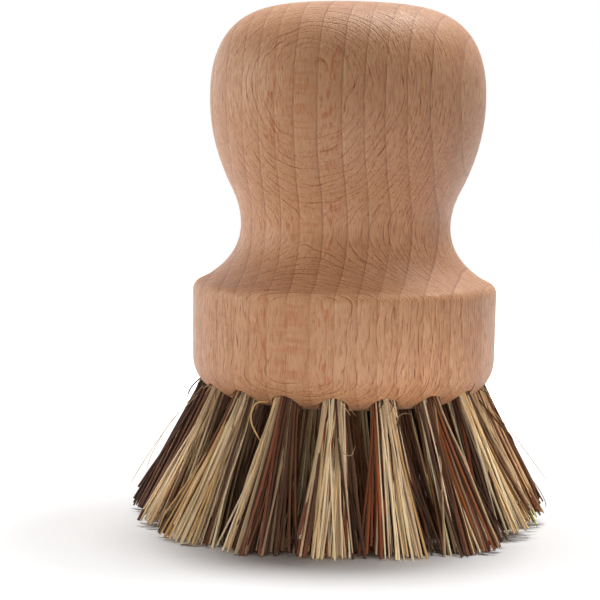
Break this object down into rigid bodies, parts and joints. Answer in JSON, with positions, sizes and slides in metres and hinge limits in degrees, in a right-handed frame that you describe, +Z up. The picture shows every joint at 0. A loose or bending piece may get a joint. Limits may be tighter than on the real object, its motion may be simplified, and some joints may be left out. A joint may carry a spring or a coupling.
{
  "type": "pot brush",
  "caption": "Round pot brush: a turned beech knob and drilled block in one piece, with fanned tufts of mixed natural fibre held by wire anchors.",
  "frame": {"origin": "middle of the trimmed bristle tips, where the brush stands", "axes": "+Z up the turning axis, out through the knob; -Y the side that the picture shows"},
  "size_m": [0.083, 0.0831, 0.1008],
  "materials": {
    "beech": "satin",
    "cream_fibre": "matte",
    "tan_fibre": "matte",
    "grey_brown_fibre": "matte",
    "red_brown_fibre": "matte",
    "dark_fibre": "matte",
    "anchor_steel": "satin"
  },
  "bodies": {
    "root": {"handle_block": "beech", "tuft_centre": "cream_fibre", "tuft_inner_01": "dark_fibre", "tuft_inner_02": "cream_fibre", "tuft_inner_03": "tan_fibre", "tuft_inner_04": "grey_brown_fibre", "tuft_inner_05": "cream_fibre", "tuft_inner_06": "red_brown_fibre", "tuft_middle_01": "dark_fibre", "tuft_middle_02": "cream_fibre", "tuft_middle_03": "cream_fibre", "tuft_middle_04": "dark_fibre", "tuft_middle_05": "cream_fibre", "tuft_middle_06": "tan_fibre", "tuft_middle_07": "grey_brown_fibre", "tuft_middle_08": "cream_fibre", "tuft_middle_09": "red_brown_fibre", "tuft_middle_10": "dark_fibre", "tuft_middle_11": "cream_fibre", "tuft_middle_12": "cream_fibre", "tuft_outer_01": "dark_fibre", "tuft_outer_02": "cream_fibre", "tuft_outer_03": "tan_fibre", "tuft_outer_04": "grey_brown_fibre", "tuft_outer_05": "cream_fibre", "tuft_outer_06": "red_brown_fibre", "tuft_outer_07": "dark_fibre", "tuft_outer_08": "cream_fibre", "tuft_outer_09": "cream_fibre", "tuft_outer_10": "dark_fibre", "tuft_outer_11": "cream_fibre", "tuft_outer_12": "tan_fibre", "tuft_outer_13": "grey_brown_fibre", "tuft_outer_14": "cream_fibre", "tuft_outer_15": "red_brown_fibre", "tuft_outer_16": "dark_fibre", "tuft_outer_17": "cream_fibre", "tuft_outer_18": "cream_fibre", "anchor_outer_01": "anchor_steel", "anchor_outer_02": "anchor_steel", "anchor_outer_03": "anchor_steel", "anchor_outer_04": "anchor_steel", "anchor_outer_05": "anchor_steel", "anchor_outer_06": "anchor_steel", "anchor_outer_07": "anchor_steel", "anchor_outer_08": "anchor_steel", "anchor_outer_09": "anchor_steel", "anchor_outer_10": "anchor_steel", "anchor_outer_11": "anchor_steel", "anchor_outer_12": "anchor_steel", "anchor_outer_13": "anchor_steel", "anchor_outer_14": "anchor_steel", "anchor_outer_15": "anchor_steel", "anchor_outer_16": "anchor_steel", "anchor_outer_17": "anchor_steel", "anchor_outer_18": "anchor_steel"}
  },
  "joints": []
}
